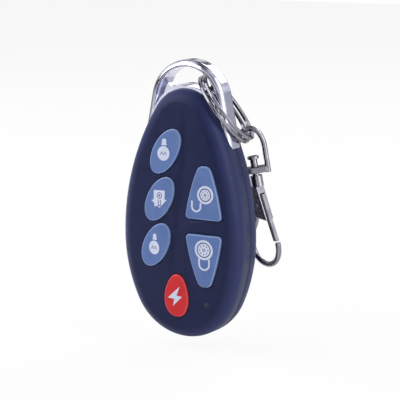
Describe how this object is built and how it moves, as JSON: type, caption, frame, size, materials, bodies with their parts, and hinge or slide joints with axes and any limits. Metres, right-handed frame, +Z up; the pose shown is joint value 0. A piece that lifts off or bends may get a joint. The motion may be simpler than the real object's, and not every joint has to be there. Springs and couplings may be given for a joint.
{
  "type": "alarm key fob",
  "caption": "Alarm remote key fob: pebble-shaped plastic case with rubber keys, a chromed lanyard loop, a split ring and a swivel snap clasp.",
  "frame": {"origin": "middle of the flat rear face of the case", "axes": "+X right, +Y out of the rear face, +Z up towards the lanyard loop; the keys face -Y"},
  "size_m": [0.0403, 0.0246, 0.0756],
  "materials": {
    "case_plastic": "fine satin navy plastic",
    "key_rubber": "soft matt blue-grey silicone",
    "panic_rubber": "soft matt red silicone",
    "chrome": "bright plated metal",
    "steel": "bright steel",
    "spring_steel": "spring steel",
    "mat_rubber": "grey silicone",
    "board": "green solder mask",
    "copper": "gold-coloured track",
    "lamp": "clear resin",
    "light_pipe": "clear red-tinted pipe",
    "chip": "black moulded resin",
    "small_parts": "ceramic",
    "switch": "black moulded case",
    "plunger": "pale plastic"
  },
  "bodies": {
    "case": {"front_shell": "case_plastic", "rear_shell": "case_plastic", "lanyard_loop": "chrome", "keypad_mat": "mat_rubber", "circuit_board": "board", "loop_antenna": "copper", "signal_lamp": "lamp", "light_pipe": "light_pipe", "coin_cell": "steel", "battery_contact": "spring_steel", "battery_clip": "spring_steel", "controller_chip": "chip", "chip_leads": "steel", "radio_resonator": "steel", "quartz_crystal": "steel", "chip_resistors": "small_parts", "housing_screws": "steel", "light_on_switch": "switch", "home_switch": "switch", "light_off_switch": "switch", "disarm_switch": "switch", "arm_switch": "switch", "panic_switch": "switch"},
    "light_on_button": {"light_on_key": "key_rubber", "light_on_plunger": "plunger"},
    "home_button": {"home_key": "key_rubber", "home_plunger": "plunger"},
    "light_off_button": {"light_off_key": "key_rubber", "light_off_plunger": "plunger"},
    "disarm_button": {"disarm_key": "key_rubber", "disarm_plunger": "plunger"},
    "arm_button": {"arm_key": "key_rubber", "arm_plunger": "plunger"},
    "panic_button": {"panic_key": "panic_rubber", "panic_plunger": "plunger"},
    "ring": {"split_ring": "chrome"},
    "eye": {"clasp_eye": "chrome"},
    "clasp": {"clasp_body": "chrome", "swivel_rivet": "chrome", "gate_pin": "chrome", "gate_spring": "spring_steel"},
    "gate": {"clasp_gate": "chrome"}
  },
  "joints": [
    {"name": "light_on_press", "type": "slide", "parent": "case", "child": "light_on_button", "axis": [0, 1, 0], "range_m": [0, 0.0005], "stiffness_N_per_m": 800},
    {"name": "home_press", "type": "slide", "parent": "case", "child": "home_button", "axis": [0, 1, 0], "range_m": [0, 0.0005], "stiffness_N_per_m": 800},
    {"name": "light_off_press", "type": "slide", "parent": "case", "child": "light_off_button", "axis": [0, 1, 0], "range_m": [0, 0.0005], "stiffness_N_per_m": 800},
    {"name": "disarm_press", "type": "slide", "parent": "case", "child": "disarm_button", "axis": [0, 1, 0], "range_m": [0, 0.0005], "stiffness_N_per_m": 800},
    {"name": "arm_press", "type": "slide", "parent": "case", "child": "arm_button", "axis": [0, 1, 0], "range_m": [0, 0.0005], "stiffness_N_per_m": 800},
    {"name": "panic_press", "type": "slide", "parent": "case", "child": "panic_button", "axis": [0, 1, 0], "range_m": [0, 0.0005], "stiffness_N_per_m": 800},
    {"name": "ring_swing", "type": "hinge", "parent": "case", "child": "ring", "pos_m": [0.00335, -0.0075, 0.03705], "axis": [0.4924, -0.8427, -0.2179], "range_deg": [0, 50]},
    {"name": "eye_swing", "type": "hinge", "parent": "ring", "child": "eye", "pos_m": [0.01246, 0.0019, 0.02128], "axis": [0.4924, -0.8427, -0.2179], "range_deg": [0, 70]},
    {"name": "clasp_swivel", "type": "hinge", "parent": "eye", "child": "clasp", "pos_m": [0.01406, 0.00282, 0.01059], "axis": [0.1473, 0.0845, -0.9855], "range_deg": [-30, 70]},
    {"name": "gate_open", "type": "hinge", "parent": "clasp", "child": "gate", "pos_m": [0.01552, 0.00339, 0.00273], "axis": [0.3391, 0.9317, 0.1305], "range_deg": [0, 22], "stiffness_Nm_per_rad": 0.02, "springref_deg": -11.46, "deforming": ["gate_spring"]}
  ]
}
